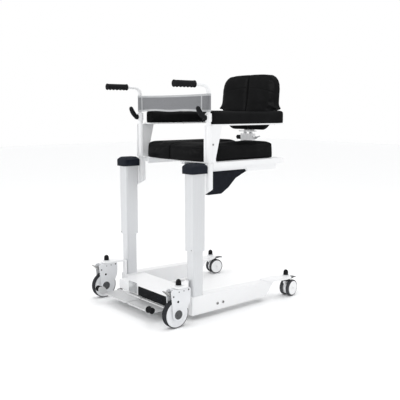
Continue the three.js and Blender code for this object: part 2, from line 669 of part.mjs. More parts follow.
function pailGeometry() {
  const { halfX, wall, rim, flangeX, front, rear } = PAIL;
  const bowl = prism(pailProfile(0, rim), 'x', -halfX, halfX);
  const flange = prism(rectangle(-flangeX, front - 10, flangeX, rear + 12, 14), 'z', rim - 4, rim);
  const pull = block(-50, rear + 8, rim - 4, 50, rear + 12, rim + 8);
  const hollow = prism(pailProfile(wall, rim + 20), 'x', -halfX + wall, halfX - wall);
  return cut(join(bowl, flange, pull), hollow);
}

// ---- Assembly -------------------------------------------------------------------------------
buildBase();
buildFootplates();
for (const sideName of ['left', 'right']) {
  buildCaster(sideName, true);
  buildCaster(sideName, false);
}
buildCarriages();
buildWings();
buildBackrest();
add('commode_pail', pailGeometry(), BLACK_PLASTIC);

export default lift;
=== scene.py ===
"""Visual model of the sit to stand lift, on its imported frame.

Lengths are millimetres until they reach a mesh.
"""
import math
import bmesh
import bpy
import numpy as np
from mathutils import Matrix, Vector


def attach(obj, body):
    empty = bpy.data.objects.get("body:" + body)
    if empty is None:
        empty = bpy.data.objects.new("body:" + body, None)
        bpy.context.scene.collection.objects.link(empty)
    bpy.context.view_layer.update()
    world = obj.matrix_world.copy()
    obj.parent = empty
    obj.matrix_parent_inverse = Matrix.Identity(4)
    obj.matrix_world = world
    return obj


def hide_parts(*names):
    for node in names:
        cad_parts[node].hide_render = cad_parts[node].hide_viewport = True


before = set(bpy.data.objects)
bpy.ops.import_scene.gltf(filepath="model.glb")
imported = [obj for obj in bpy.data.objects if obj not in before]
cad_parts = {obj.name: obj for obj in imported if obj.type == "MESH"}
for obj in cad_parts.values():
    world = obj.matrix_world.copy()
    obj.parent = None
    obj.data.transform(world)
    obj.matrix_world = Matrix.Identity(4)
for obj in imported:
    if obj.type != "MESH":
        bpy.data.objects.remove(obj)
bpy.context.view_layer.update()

# ---- Shared numbers, in the working frame of the CAD source -----------------
SHIFT_Y = -223.9               # the columns' own y = 0 in the part's frame
COLUMN_X = 279
POST = (280, 82)
FRONT_STEM = (314, -128)
REAR_STEM = (310, 611)
REAR_SWIVEL = {"left": math.radians(8), "right": math.radians(-10)}
FRONT_HUB = (-20, 66)          # y from the stem, height
REAR_HUB = (27, 44)
HANDLE_TOP = 1116.5
SEAT_FRONT, SEAT_BOW, SEAT_REAR, SEAT_HALF = 86, 26, 580, 240
SEAT_BASE, SEAT_TOP = 749.6, 831
OPENING_Y, OPENING_X, OPENING_R = 370, 75, 115
ARM_X0, ARM_X1, ARM_Y0, ARM_Y1, ARM_Z0, ARM_Z1 = 226, 286, 112, 611, 931, 997
BACK_Y, BACK_Z, BACK_LEAN, BACK_THICK, BACK_HEIGHT = 584, 890, math.radians(6), 42, 310
SIDES = (("left", 1), ("right", -1))
FORK_FACE = 22.2               # outside of the front fork, from the wheel's middle
CAP_BASE = 704.4               # where the column caps start
CAP_HALF = (41, 50)
LEVER_Z = 962
TUBE_RADIUS, TUBE_BOTTOM, TUBE_BEND, TUBE_TIP = 9.5, 760, 46, -110
KNOB_YZ = (618, 847)           # the backrest clamp's knob and its bolt
PANEL_WRAP = 11.4              # the mesh panel's line round a post
PANEL_LOW, PANEL_HIGH = 990.4, 1073.6
BACK_LIP, BACK_HALF = 112, 213 # height of the backrest's side lips up its face, half width above them


def place(x, y, z):
    """A point of the working frame in the part's frame, in metres."""
    return Vector((x, y + SHIFT_Y, z)) / 1000


# ---- Camera, light and floor --------------------------------------------------
def make_camera():
    data = bpy.data.cameras.new("camera")
    data.sensor_width = 36
    data.lens = 55.509
    data.clip_end = 50
    camera = bpy.data.objects.new("camera", data)
    azimuth, elevation = math.radians(49.908), math.radians(8.300)
    forward = Vector((-math.sin(azimuth) * math.cos(elevation), math.cos(azimuth) * math.cos(elevation),
                      -math.sin(elevation)))
    camera.rotation_euler = forward.to_track_quat("-Z", "Y").to_euler()
    camera.location = place(2491.1, -1831.0, 998.2)
    bpy.context.collection.objects.link(camera)
    bpy.context.scene.camera = camera


def area_light(name, location, target, size, power):
    data = bpy.data.lights.new(name, "AREA")
    data.shape, data.size, data.size_y = "RECTANGLE", size[0], size[1]
    data.energy = power
    lamp = bpy.data.objects.new(name, data)
    lamp.location = location
    lamp.rotation_euler = (Vector(target) - Vector(location)).to_track_quat("-Z", "Y").to_euler()
    bpy.context.collection.objects.link(lamp)


def make_studio():
    bpy.context.scene.view_settings.view_transform = "Standard"
    world = bpy.data.worlds.new("studio")
    bpy.context.scene.world = world
    world.use_nodes = True
    background = world.node_tree.nodes["Background"]
    background.inputs["Color"].default_value = (1.0, 1.0, 1.0, 1)
    background.inputs["Strength"].default_value = 1.0
    area_light("key", (-0.6, -3.6, 2.9), (0, 0, 0.5), (1.8, 1.8), 34)
    area_light("top", (0.4, 0.3, 3.6), (0, 0, 0.0), (2.4, 2.4), 26)
    floor = mesh_object("floor", [(-14, -14, 0), (14, -14, 0), (14, 14, 0), (-14, 14, 0)], [(0, 1, 2, 3)],
                        FLOOR, scale=1)


# ---- Materials -------------------------------------------------------------------
def shader(name, color, roughness, metallic=0.0, coat=0.0, sheen=0.0, specular=0.5):
    material = bpy.data.materials.new(name)
    material.use_nodes = True
    bsdf = material.node_tree.nodes["Principled BSDF"]
    bsdf.inputs["Base Color"].default_value = (*color, 1)
    bsdf.inputs["Roughness"].default_value = roughness
    bsdf.inputs["Metallic"].default_value = metallic
    bsdf.inputs["Coat Weight"].default_value = coat
    bsdf.inputs["Coat Roughness"].default_value = max(0.12, roughness - 0.1)
    bsdf.inputs["Sheen Weight"].default_value = sheen
    bsdf.inputs["Specular IOR Level"].default_value = specular
    material.diffuse_color = (*color, 1)
    return material


def coordinates(material, stretch=(1, 1, 1)):
    tree = material.node_tree
    source = tree.nodes.new("ShaderNodeTexCoord")
    mapping = tree.nodes.new("ShaderNodeMapping")
    mapping.inputs["Scale"].default_value = stretch
    tree.links.new(source.outputs["Object"], mapping.inputs["Vector"])
    return mapping.outputs["Vector"]


def noise(material, scale, detail=3.0, stretch=(1, 1, 1)):
    node = material.node_tree.nodes.new("ShaderNodeTexNoise")
    node.inputs["Scale"].default_value = scale
    node.inputs["Detail"].default_value = detail
    node.inputs["Roughness"].default_value = 0.55
    material.node_tree.links.new(coordinates(material, stretch), node.inputs["Vector"])
    return node.outputs["Fac"]


def spread(material, value, low, high, start=0.3, end=0.7):
    node = material.node_tree.nodes.new("ShaderNodeMapRange")
    node.inputs["From Min"].default_value, node.inputs["From Max"].default_value = start, end
    node.inputs["To Min"].default_value, node.inputs["To Max"].default_value = low, high
    material.node_tree.links.new(value, node.inputs["Value"])
    return node.outputs["Result"]


def mix_color(material, factor, first, second):
    """Mixes two colours, or a socket and a colour, by factor."""
    tree = material.node_tree
    node = tree.nodes.new("ShaderNodeMix")
    node.data_type = "RGBA"
    tree.links.new(factor, node.inputs["Factor"])
    for socket, value in ((node.inputs[6], first), (node.inputs[7], second)):
        if isinstance(value, tuple):
            socket.default_value = (*value, 1)
        else:
            tree.links.new(value, socket)
    return node.outputs[2]


def wire(material, socket, value):
    material.node_tree.links.new(value, material.node_tree.nodes["Principled BSDF"].inputs[socket])


def bump(material, height, distance, strength=0.5, normal=None):
    node = material.node_tree.nodes.new("ShaderNodeBump")
    node.inputs["Strength"].default_value = strength
    node.inputs["Distance"].default_value = distance
    material.node_tree.links.new(height, node.inputs["Height"])
    if normal is not None:
        material.node_tree.links.new(normal, node.inputs["Normal"])
    return node.outputs["Normal"]


def paint(name, color, roughness=0.3, shade=0.93):
    """Powder coat: a fine orange peel, a soft tonal drift and a slow drift in gloss."""
    material = shader(name, color, roughness, coat=0.25)
    darker = tuple(c * shade for c in color)
    drift = spread(material, noise(material, 9), 0, 1)
    wire(material, "Base Color", mix_color(material, drift, darker, color))
    wire(material, "Roughness", spread(material, noise(material, 6, 1), roughness - 0.02, roughness + 0.02))
    peel = bump(material, noise(material, 420, 2), 0.0001, 0.12)
    wire(material, "Normal", bump(material, noise(material, 90, 2), 0.0003, 0.1, peel))
    return material


def brushed(name, color, roughness, stretch, metallic=0.9, contrast=0.88):
    """Drawn or brushed metal: fine lines along one axis."""
    material = shader(name, color, roughness, metallic)
    lines = noise(material, 260, 3, stretch)
    darker = tuple(c * contrast for c in color)
    wire(material, "Base Color", mix_color(material, spread(material, lines, 0, 1), darker, color))
    wire(material, "Roughness", spread(material, lines, roughness - 0.07, roughness + 0.1))
    wire(material, "Normal", bump(material, lines, 0.0002, 0.25))
    return material


def moulded(name, color, roughness, coat=0.0, lift=1.35, specular=0.0):
    """Moulded plastic or rubber: a spark-eroded grain and faint dust in the tone."""
    material = shader(name, color, roughness, coat=coat, specular=specular)
    lighter = tuple(min(1, c * lift + 0.001) for c in color)
    dust = spread(material, noise(material, 28, 5), 0, 1)
    wire(material, "Base Color", mix_color(material, dust, color, lighter))
    wire(material, "Roughness", spread(material, noise(material, 90), roughness - 0.06, roughness + 0.1))
    wire(material, "Normal", bump(material, noise(material, 1400, 2), 0.00025, 0.35))
    return material


def leather(name, color, roughness):
    """Polyurethane upholstery: pebbled grain with soft creases."""
    material = shader(name, color, roughness, coat=0.11, specular=0.0)
    cells = material.node_tree.nodes.new("ShaderNodeTexVoronoi")
    cells.feature = "DISTANCE_TO_EDGE"
    cells.inputs["Scale"].default_value = 620
    material.node_tree.links.new(coordinates(material), cells.inputs["Vector"])
    grain = spread(material, cells.outputs["Distance"], 0, 1, 0.0, 0.25)
    tone = spread(material, noise(material, 14, 4), 0, 1)
    wire(material, "Base Color", mix_color(material, tone, color, tuple(c * 1.5 + 0.001 for c in color)))
    wire(material, "Roughness", spread(material, noise(material, 45), roughness - 0.06, roughness + 0.1))
    crease = bump(material, noise(material, 22, 5), 0.004, 0.25)
    wire(material, "Normal", bump(material, grain, 0.0004, 0.45, crease))
    return material


def knit(name, light, dark, pitch):
    """Spacer mesh: staggered round holes in a knitted ground, on the x-z plane."""
    material = shader(name, light, 0.85, sheen=0.25, specular=0.2)
    tree = material.node_tree
    cells = tree.nodes.new("ShaderNodeTexVoronoi")
    cells.inputs["Scale"].default_value = 1 / pitch
    cells.inputs["Randomness"].default_value = 0.12
    tree.links.new(coordinates(material, (1, 0.02, 1)), cells.inputs["Vector"])
    holes = spread(material, cells.outputs["Distance"], 1, 0, 0.22, 0.42)
    wire(material, "Base Color", mix_color(material, holes, light, dark))
    threads = noise(material, 1500, 2, (1, 1, 3))
    wire(material, "Normal", bump(material, holes, -0.0008, 0.6, bump(material, threads, 0.0003, 0.4)))
    return material


FLOOR = paint("floor_matt", (0.97, 0.975, 0.98), 0.7, 0.997)
WHITE = paint("white_powder_coat", (0.86, 0.865, 0.875), 0.3, 0.975)
ALUMINIUM = brushed("anodised_aluminium", (0.68, 0.69, 0.705), 0.36, (1, 1, 0.02), 0.66, 0.95)
STEEL = brushed("brushed_steel", (0.40, 0.40, 0.395), 0.32, (0.03, 1, 1))
TREAD = brushed("footplate_steel", (0.66, 0.665, 0.67), 0.4, (0.03, 1, 1), 0.55)
CHROME = brushed("polished_steel", (0.60, 0.61, 0.62), 0.16, (1, 0.05, 1))
CAP = moulded("blue_black_plastic", (0.0085, 0.0105, 0.016), 0.34, 0.2)
BLACK = moulded("black_plastic", (0.006, 0.0065, 0.0075), 0.4, 0.2)
GREY = moulded("grey_plastic", (0.16, 0.165, 0.175), 0.42, lift=1.15, specular=0.4)
HUB_GREY = moulded("dark_grey_plastic", (0.072, 0.074, 0.078), 0.42, lift=1.15, specular=0.3)
PALE = moulded("pale_plastic", (0.74, 0.75, 0.77), 0.4, lift=1.04, specular=0.4)
RUBBER = moulded("black_rubber", (0.009, 0.009, 0.010), 0.6, 0.12)
TYRE = moulded("dark_tyre", (0.024, 0.025, 0.028), 0.58, 0.12)
TYRE_GREY = moulded("grey_tyre", (0.055, 0.056, 0.060), 0.58, 0.1)
PAIL = moulded("pail_plastic", (0.0065, 0.0078, 0.012), 0.32, 0.2)
UPHOLSTERY = leather("black_upholstery", (0.0044, 0.0045, 0.0048), 0.42)
MESH = knit("grey_spacer_mesh", (0.215, 0.219, 0.23), (0.062, 0.064, 0.07), 0.0042)
BINDING = knit("grey_binding", (0.50, 0.51, 0.52), (0.40, 0.41, 0.42), 0.0016)
THREAD = moulded("black_thread", (0.012, 0.012, 0.013), 0.7)


# ---- Mesh helpers -----------------------------------------------------------------
def mesh_object(name, verts, faces, material, body=None, scale=0.001, smooth=40):
    """An object from points in millimetres of the part's frame, smooth up to an angle in degrees."""
    data = bpy.data.meshes.new(name)
    data.from_pydata([tuple(c * scale for c in v) for v in verts], [], faces)
    face_outward(data)
    return dress(bpy.data.objects.new(name, data), material, body, smooth)


def face_outward(data):
    solid = bmesh.new()
    solid.from_mesh(data)
    bmesh.ops.recalc_face_normals(solid, faces=solid.faces)
    solid.to_mesh(data)
    solid.free()


def dress(piece, material, body=None, smooth=40):
    piece.data.materials.clear()
    piece.data.materials.append(material)
    piece.data.shade_smooth()
    piece.data.set_sharp_from_angle(angle=math.radians(smooth))
    if piece.name not in bpy.context.collection.objects:
        bpy.context.collection.objects.link(piece)
    if body:
        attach(piece, body)
    return piece


def bevel(piece, width):
    modifier = piece.modifiers.new("rounded edges", "BEVEL")
    modifier.width, modifier.segments = width / 1000, 2
    modifier.limit_method, modifier.angle_limit = "ANGLE", math.radians(35)
    modifier.harden_normals = False
    return piece


def basis(axis):
    """Maps (across, across, along) to x, y, z for a shape along an axis."""
    return {"x": (2, 0, 1), "y": (0, 2, 1), "z": (0, 1, 2)}[axis]


def rings(sections, closed=False):
    """Faces that join equal loops of points, with an end face at each end unless the row is closed."""
    count, verts, faces = len(sections[0]), [], []
    for section in sections:
        verts.extend(section)
    spans = len(sections) if closed else len(sections) - 1
    for i in range(spans):
        a, b = i * count, ((i + 1) % len(sections)) * count
        for k in range(count):
            n = (k + 1) % count
            faces.append((a + k, a + n, b + n, b + k))
    if not closed:
        faces.append(tuple(reversed(range(count))))
        faces.append(tuple(range((len(sections) - 1) * count, len(sections) * count)))
    return verts, faces


def lathe(profile, axis="z", center=(0, 0, 0), count=48, lobes=0, depth=0.0):
    """Loops of a (radius, height) profile about an axis, with optional finger lobes."""
    order = basis(axis)
    sections = []
    for radius, height in profile:
        loop = []
        for k in range(count):
            turn = 2 * math.pi * k / count
            lobed = lobes and radius > depth * 2
            r = radius - depth * (0.5 - 0.5 * math.cos(lobes * turn)) if lobed else radius
            local = (r * math.cos(turn), r * math.sin(turn), height)
            loop.append(tuple(local[order[i]] + center[i] for i in range(3)))
        sections.append(loop)
    return rings(sections)


def tube(path, radius, count=20):
    """A round tube along points; radius is a number or one per point."""
    points = [Vector(p) for p in path]
    radii = radius if isinstance(radius, (list, tuple)) else [radius] * len(points)
    sections, side = [], None
    for i, point in enumerate(points):
        ahead = (points[min(i + 1, len(points) - 1)] - points[max(i - 1, 0)]).normalized()
        side = ahead.orthogonal() if side is None else side - ahead * side.dot(ahead)
        side.normalize()
        other = ahead.cross(side)
        sections.append([tuple(point + (side * math.cos(t) + other * math.sin(t)) * radii[i])
                         for t in (2 * math.pi * k / count for k in range(count))])
    return rings(sections)


def framed(verts, side=1):
    """Working-frame points to the part's frame, mirrored for the right-hand side."""
    return [(v[0] * side, v[1] + SHIFT_Y, v[2]) for v in verts]


def rounded_rectangle(cx, cy, half_x, half_y, radius, z, steps=5):
    loop = []
    for sx, sy, start in ((1, 1, 0), (-1, 1, 90), (-1, -1, 180), (1, -1, 270)):
        for k in range(steps + 1):
            turn = math.radians(start + 90 * k / steps)
            loop.append((cx + sx * (half_x - radius) + radius * math.cos(turn),
                         cy + sy * (half_y - radius) + radius * math.sin(turn), z))
    return loop


def join_ends(spans, count):
    """Faces that close a lathe loop from its last ring to its first."""
    last = (spans - 1) * count
    return [(last + k, last + (k + 1) % count, (k + 1) % count, k) for k in range(count)]


def turned(name, profile, axis, center, count, look, body, side=1, smooth=40, hollow=False):
    """A lathe piece in the part's frame. A hollow one joins its last ring to its first."""
    verts, faces = lathe(profile, axis, center, count)
    if hollow:
        faces = faces[:-2] + join_ends(len(profile), count)
    return mesh_object(name, framed(verts, side), faces, look, body, smooth=smooth)


def screw(name, point, axis, radius, body, height=2.5):
    """A button-head screw with a hex socket. axis is like "+x" or "-y" and gives the head's direction."""
    sign = 1 if axis[0] == "+" else -1
    hexagon = radius * 0.45
    head = [(radius, 0), (radius, 0.4 * height), (radius * 0.86, 0.82 * height), (radius * 0.6, height)]
    turned(name, [(r, sign * h) for r, h in head], axis[1], point, 24, STEEL, body)
    socket = [(hexagon, sign * (height + 0.1)), (hexagon * 0.92, sign * 0.35 * height)]
    turned(f"{name}_socket", socket, axis[1], point, 6, BLACK, body)


# ---- Carried-over metal ------------------------------------------------------------
def finish_cad():
    looks = {
        "leg": (WHITE, 1.6), "lower_tube": (ALUMINIUM, 4.0), "actuator_cylinder": (STEEL, 0.4),
        "upper_tube": (ALUMINIUM, 5.0), "actuator_rod": (STEEL, 0.4), "post_bracket": (WHITE, 1.0),
        "wing_frame": (WHITE, 1.2), "front_fork": (PALE, 1.0), "front_pedal": (STEEL, 0.8),
        "rear_yoke": (WHITE, 0.8), "rear_pedal": (HUB_GREY, 1.0), "footplate": (TREAD, 1.0),
    }
    single = {
        "cross_beam": (WHITE, 2.0), "battery": (BLACK, 1.0), "control_box": (GREY, 1.0),
        "power_panel": (CHROME, 0.6), "footplate_hinge_bar": (STEEL, 0.5), "backrest_frame": (WHITE, 0.8),
        "commode_pail": (PAIL, 1.4),
    }
    every = dict(single)
    for name, look in looks.items():
        every[f"left_{name}"] = every[f"right_{name}"] = look
    for name, (material, width) in every.items():
        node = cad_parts[name]
        for k in range(len(node.material_slots)):
            node.material_slots[k].link = "OBJECT"
            node.material_slots[k].material = material
        node.data.shade_smooth()
        node.data.set_sharp_from_angle(angle=math.radians(34))
        bevel(node, width)


# ---- Casters ------------------------------------------------------------------------
def front_casters():
    rim = [(6.4, -17), (24, -17), (25, -16), (27, -14.5), (44, -14), (46, -15.4), (58, -15.8), (62, -15),
           (62.6, -14), (62.6, 14), (62, 15), (58, 15.8), (46, 15.4), (44, 14), (27, 14.5), (25, 16), (24, 17),
           (6.4, 17)]
    tyre = [(62.8, -15.6), (63.6, -16.6), (64.6, -16), (65.4, -14.2), (65.9, -11), (66, -4), (65.4, -3.4),
            (65.4, 3.4), (66, 4), (65.9, 11), (65.4, 14.2), (64.6, 16), (63.6, 16.6), (62.8, 15.6)]
    cap = [(21.6, 22), (22.2, 24), (21.6, 26.4), (19, 27.4), (17, 26.6), (7.5, 26.6), (6.5, 28.4), (2, 29)]
    hub = (FRONT_STEM[0], FRONT_STEM[1] + FRONT_HUB[0], FRONT_HUB[1])
    rivets = ((hub[1], 127, 5.4), (hub[1] - 26, 155, 4), (FRONT_STEM[1] + 42, 175, 4),
              (hub[1] + 6, 172, 2.6), (FRONT_STEM[1] + 14, 173, 2.6))
    for name, side in SIDES:
        wheel, caster = f"{name}_front_wheel", f"{name}_front_caster"
        for label, profile, look, slot in (("rim", rim, PALE, "grey_plastic"),
                                           ("tyre", tyre, TYRE, "tyre_grey")):
            piece = turned(f"{name}_front_{label}_turned", profile, "x", hub, 72, look, wheel, side, 30,
                           hollow=True)
            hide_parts(f"{name}_front_{label}")
        for face, sign in (("outer", 1), ("inner", -1)):
            turned(f"{name}_front_hub_{face}", [(r, sign * h) for r, h in cap], "x", hub, 48, HUB_GREY, caster,
                   side)
            for k, (y, z, r) in enumerate(rivets):
                head = [(r, sign * FORK_FACE), (r, sign * (FORK_FACE + 1.2)),
                        (r * 0.75, sign * (FORK_FACE + 1.8))]
                turned(f"{name}_fork_rivet_{face}_{k}", head, "x", (hub[0], y, z), 24,
                       BLACK if k == 0 else HUB_GREY, caster, side)
        stem_cap(name, side, "front_stem_cap", FRONT_STEM, 195.4, 227, 13)


def stem_cap(name, side, node, stem, base, top, radius):
    """A washer, and above it a black dome that turns over in a full curve."""
    washer = [(radius + 4, base), (radius + 4, base + 3), (radius + 3, base + 4), (2, base + 4)]
    turned(f"{name}_{node}_washer", washer, "z", (*stem, 0), 40, ALUMINIUM, "base", side)
    foot, height = base + 12, top - base - 12
    dome = [(radius, base + 4), (radius, foot)]
    dome += [(radius * (1 - t ** 2.8) ** 0.5, foot + height * t)
             for t in (0.2, 0.4, 0.55, 0.7, 0.82, 0.9, 0.96, 0.99)]
    cap = turned(f"{name}_{node}_dome", dome + [(0.4, top)], "z", (*stem, 0), 40, RUBBER, "base", side)
    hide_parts(f"{name}_{node}")


def rear_casters():
    tread = [(37.8, 9.6), (40, 10), (42.6, 11.6), (43.8, 14), (44, 24), (43, 27.4), (40.6, 29.4), (37.8, 29.6)]
    disc = [(5.2, 9.6), (36.4, 9.8), (37.6, 10.8), (37.6, 28.8), (37, 30), (35, 30.2), (33.6, 29), (14, 28.6),
            (12, 30), (5.2, 30)]
    hood = [(5.2, -8.6), (34, -8.6), (37, -6), (37, 6), (34, 8.6), (5.2, 8.6)]
    ring = [(17, 88.4), (22.2, 88.4), (23.4, 89.6), (23.4, 96.6), (22.2, 97.8), (17, 97.8)]
    for name, side in SIDES:
        turn = Matrix.Rotation(REAR_SWIVEL[name], 3, "Z")

        def swivelled(verts, mirror):
            origin = Vector((side * REAR_STEM[0], REAR_STEM[1] + SHIFT_Y, 0))
            return [tuple(turn @ Vector((v[0] * mirror, v[1], v[2])) + origin) for v in verts]

        def swivelled_piece(label, profile, axis, centre, mirror, look, body):
            verts, faces = lathe(profile, axis, centre, 64)
            faces = faces[:-2] + join_ends(len(profile), 64)
            return mesh_object(f"{name}_{label}", swivelled(verts, mirror), faces, look, body, smooth=30)

        hub, caster = (0, *REAR_HUB), f"{name}_rear_caster"
        for label, mirror in (("outer", side), ("inner", -side)):
            body = f"{name}_rear_{label}"
            piece = swivelled_piece(f"rear_{label}_tread", tread, "x", hub, mirror, TYRE_GREY, body)
            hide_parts(f"{name}_rear_{label}_wheel")
            swivelled_piece(f"rear_{label}_disc", disc, "x", hub, mirror, WHITE, body)
        swivelled_piece("rear_hood", hood, "x", hub, 1, WHITE, caster)
        swivelled_piece("rear_raceway", ring, "z", (0, 0, 0), 1, BLACK, caster)
        stem_cap(name, side, "rear_stem_cap", REAR_STEM, 114.4, 147, 13)


# ---- Base details ----------------------------------------------------------------------
def base_details():
    for name, side in SIDES:
        outward = "+x" if side > 0 else "-x"
        for k, y in enumerate((123, 160)):
            screw(f"{name}_leg_bolt_{k}", (side * 304, y, 57), outward, 7.5, "base", height=3.5)
        for k, z in enumerate((128, 476)):
            screw(f"{name}_column_screw_{k}", (side * COLUMN_X, -32, z), "-y", 2.6, "base", height=1.2)
        groove(f"{name}_lower_groove", side, 32, 121, 330, "base")
        foot_knob(name, side)
    for k, (x, z) in enumerate(((-120, 74), (-120, 116), (-63, 74), (-63, 116))):
        screw(f"panel_screw_{k}", (x, -112, z), "-y", 2.4, "base", height=1.2)
    for k in range(3):
        z = 74 + 11 * k
        verts, faces = tube([(118, -111.4, z), (166, -111.4, z)], 1.8, 12)
        mesh_object(f"battery_grip_rib_{k}", framed(verts), faces, CAP, "base")


def groove(name, side, depth, z0, z1, body):
    """The thin dark slot down the middle of a column's rear face."""
    y = depth + 0.15
    verts, faces = rings([[(side * COLUMN_X - 0.9, y, z), (side * COLUMN_X + 0.9, y, z),
                           (side * COLUMN_X + 0.9, y * 0.97, z), (side * COLUMN_X - 0.9, y * 0.97, z)]
                          for z in (z0, z1)])
    mesh_object(name, framed(verts), faces, GREY, body)


def foot_knob(name, side):
    profile = [(5.3, 0.2), (15.8, 0.2), (16.5, 1.5), (16.5, 4.2), (14.6, 6), (12.8, 8.5), (12, 12), (12, 19),
               (12.8, 23), (14.6, 26), (15.2, 29), (14.6, 33), (12, 35.6), (8, 36), (2, 36)]
    piece = turned(f"{name}_foot_knob_moulded", profile, "x", (210.3, -227, 77), 40, RUBBER, f"{name}_footrest",
                   side)
    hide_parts(f"{name}_foot_knob")


# ---- Lifting carriages -----------------------------------------------------------------
def carriages():
    levels = ((CAP_BASE, 0, 12), (735, 0.2, 12), (738, -0.8, 12), (741, -2.6, 12), (748, -9.4, 12),
              (750.4, -12.4, 12), (751.8, -16, 12), (752.2, -22, 10))
    for name, side in SIDES:
        lift = f"{name}_lift"
        sections = []
        for z, grow, radius in levels:
            half_x, half_y = CAP_HALF[0] + grow, CAP_HALF[1] + grow
            sections.append(rounded_rectangle(COLUMN_X, 0, half_x, half_y, min(radius, half_x - 3), z))
        verts, faces = rings(sections)
        cap = mesh_object(f"{name}_column_cap_moulded", framed(verts, side), faces, CAP, lift)
        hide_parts(f"{name}_column_cap")
        ring = [rounded_rectangle(COLUMN_X, 0, CAP_HALF[0] + 0.4, CAP_HALF[1] + 0.4, 14, z)
                for z in (CAP_BASE, CAP_BASE + 2.8)]
        verts, faces = rings(ring)
        mesh_object(f"{name}_cap_skirt_ring", framed(verts, side), faces, BLACK, lift)
        groove(f"{name}_upper_groove", side, 39, 338, 703, lift)
        screw(f"{name}_tube_screw", (side * (COLUMN_X + 20), -39, 345), "-y", 3, lift, height=1.2)
        for k, (dx, z) in enumerate(((-19, 612), (19, 612), (-19, 688), (19, 688))):
            screw(f"{name}_flange_screw_{k}", (side * COLUMN_X + dx, 44.3, z), "+y", 4, lift, height=2)
        lever(name, side)
        handle(name, side)
        grip(name, side)


def lever(name, side):
    x, y, z = POST[0], POST[1] - 18.3, LEVER_Z
    hub = [(13, 0), (13.6, -2), (13.6, -9), (12, -13), (8, -15), (2, -15.6)]
    body = f"{name}_lever"
    piece = turned(f"{name}_lever_hub", hub, "y", (x, y, z), 32, BLACK, body, side)
    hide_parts(f"{name}_clamp_lever")
    path, radii = [], []
    for t in np.linspace(0, 1, 12):
        path.append((x - 4 * t, 57 - 39 * t - 5 * math.sin(math.pi * t), z + 53 * t ** 1.15))
        radii.append(11 + 1.6 * math.sin(math.pi * min(1, t * 1.2)))
    radii[0], radii[-2], radii[-1] = 9, 10, 5.5
    verts, faces = tube(path, radii, 18)
    mesh_object(f"{name}_lever_arm", framed(verts, side), faces, BLACK, body, smooth=60)
    screw(f"{name}_lever_screw", (side * x, y - 14, z), "-y", 3.6, body, height=1.4)


def handle(name, side):
    x, y = POST
    bend_z, bend_y = HANDLE_TOP - TUBE_BEND, y - TUBE_BEND
    points = [(x, y, TUBE_BOTTOM), (x, y, 800), (x, y, 940)]
    points += [(x, y, z) for z in np.linspace(960, bend_z, 4)]
    for t in np.linspace(0.1, 0.9, 9):
        a, b, c = (1 - t) ** 2, 2 * t * (1 - t), t * t
        points.append((x, (a + b) * y + c * bend_y, a * bend_z + (b + c) * HANDLE_TOP))
    points += [(x, v, HANDLE_TOP) for v in np.linspace(bend_y, TUBE_TIP, 5)]
    verts, faces = tube(points, TUBE_RADIUS, 24)
    piece = mesh_object(f"{name}_handle_tube_bent", framed(verts, side), faces, WHITE, f"{name}_handle",
                        smooth=60)
    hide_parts(f"{name}_handle_tube")


def grip(name, side):
    """Rubber grip: end flanges, ribs all round and five finger hollows underneath."""
    x, rear, front, count = POST[0], -0.2, -124.5, 28
    sections = []
    for s in np.linspace(0, 1, 60):
        y = rear + (front - rear) * s
        loop = []
        for k in range(count):
            turn = 2 * math.pi * k / count
            under = max(0.0, -math.sin(turn)) ** 1.2
            fingers = 0.5 - 0.5 * math.cos(2 * math.pi * 5 * min(max((s - 0.08) / 0.84, 0), 1))
            ribs = 0.35 * math.cos(2 * math.pi * 24 * s) * (1 - under)
            r = 15.2 + ribs - 2.8 * under * (1 - fingers) + 1.6 * under * fingers
            if s < 0.05 or s > 0.955:
                r = 16.6 - 6 * max(0, 0.016 - min(s, 1 - s)) / 0.016
            loop.append((x + r * math.cos(turn), y, HANDLE_TOP + r * math.sin(turn)))
        sections.append(loop)
    verts, faces = rings(sections)
    piece = mesh_object(f"{name}_grip_moulded", framed(verts, side), faces, RUBBER, f"{name}_handle",
                        smooth=50)
    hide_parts(f"{name}_handle_grip")


# ---- Mesh panel ----------------------------------------------------------------------------
def panel_path():
    """The panel's line in plan: round the back of one post, across the front, round the other."""
    x, y = POST
    wrap = [(x + PANEL_WRAP * math.cos(t), y + PANEL_WRAP * math.sin(t))
            for t in np.linspace(2.2, -math.pi / 2, 16)]
    front = [(v, y - PANEL_WRAP - 1.5 * math.sin(math.pi * (x - v) / (2 * x)))
             for v in np.linspace(x, -x, 73)[1:-1]]
    return wrap + front + [(-px, py) for px, py in reversed(wrap)]


def strip(name, path, bottoms, tops, thickness, material, rows=8):
    """A thin closed sheet that follows a plan line, between two edges of varying height."""
    points = [Vector((p[0], p[1], 0)) for p in path]
    sections = []
    for i, point in enumerate(points):
        ahead = (points[min(i + 1, len(points) - 1)] - points[max(i - 1, 0)]).normalized()
        out = Vector((-ahead.y, ahead.x, 0)) * thickness / 2
        low, high = bottoms[i], tops[i]
        heights = [low + (high - low) * k / rows for k in range(rows + 1)]
        sections.append([tuple(point + out + Vector((0, 0, z))) for z in heights]
                        + [tuple(point - out + Vector((0, 0, z))) for z in reversed(heights)])
    verts, faces = rings(sections)
    return mesh_object(name, framed(verts), faces, material, "left_handle", smooth=50)


